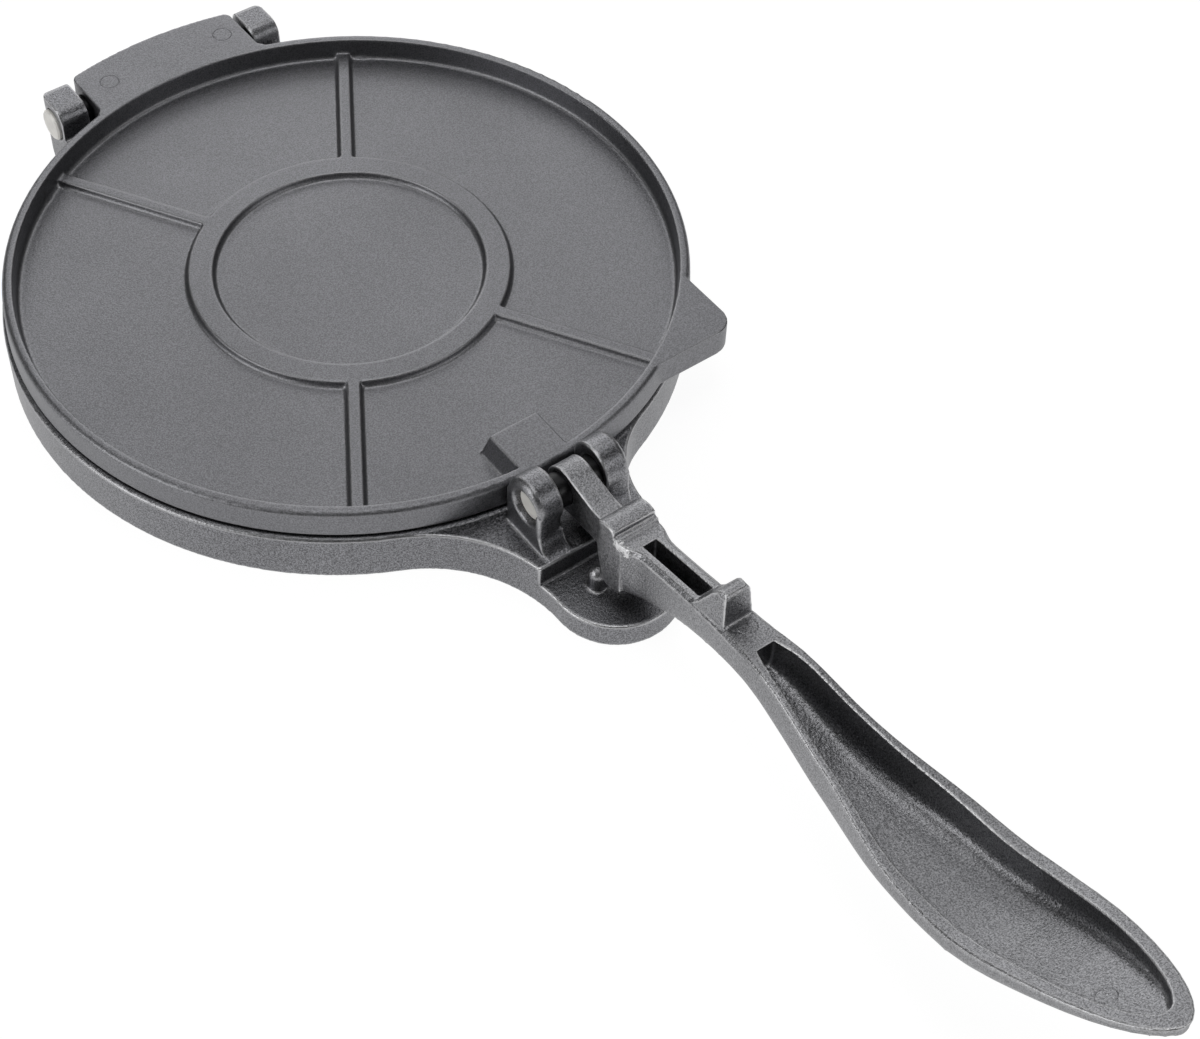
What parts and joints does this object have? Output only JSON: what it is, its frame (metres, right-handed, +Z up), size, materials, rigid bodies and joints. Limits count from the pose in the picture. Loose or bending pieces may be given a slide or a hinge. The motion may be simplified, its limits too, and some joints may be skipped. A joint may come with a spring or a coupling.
{
  "type": "tortilla press",
  "caption": "Cast tortilla press: a hinged round upper plate closes on a skirted base plate, pressed down by a scooped lever that pivots in a front clevis.",
  "frame": {"origin": "centre of the closed upper plate, on the plane that the base stands on", "axes": "+Z up, +Y towards the rear hinge, -Y along the lever at rest, both pins along X"},
  "size_m": [0.1928, 0.4289, 0.0556],
  "materials": {
    "cast_dark": "dark grey hammertone coat on a sand casting",
    "cast_lever": "dark grey hammertone coat, a little lighter and coarser",
    "pin_steel": "bare turned steel"
  },
  "bodies": {
    "base": {"base_plate": "cast_dark", "hinge_pin": "pin_steel", "lever_pin": "pin_steel"},
    "upper": {"upper_plate": "cast_dark"},
    "handle": {"lever": "cast_lever"}
  },
  "joints": [
    {"name": "plate_hinge", "type": "hinge", "parent": "base", "child": "upper", "pos_m": [0, 0.1026, 0.0163], "axis": [-1, 0, 0], "range_deg": [0, 105]},
    {"name": "lever_pivot", "type": "hinge", "parent": "base", "child": "handle", "pos_m": [0, -0.1055, 0.0255], "axis": [1, 0, 0], "range_deg": [-161, 0]}
  ]
}
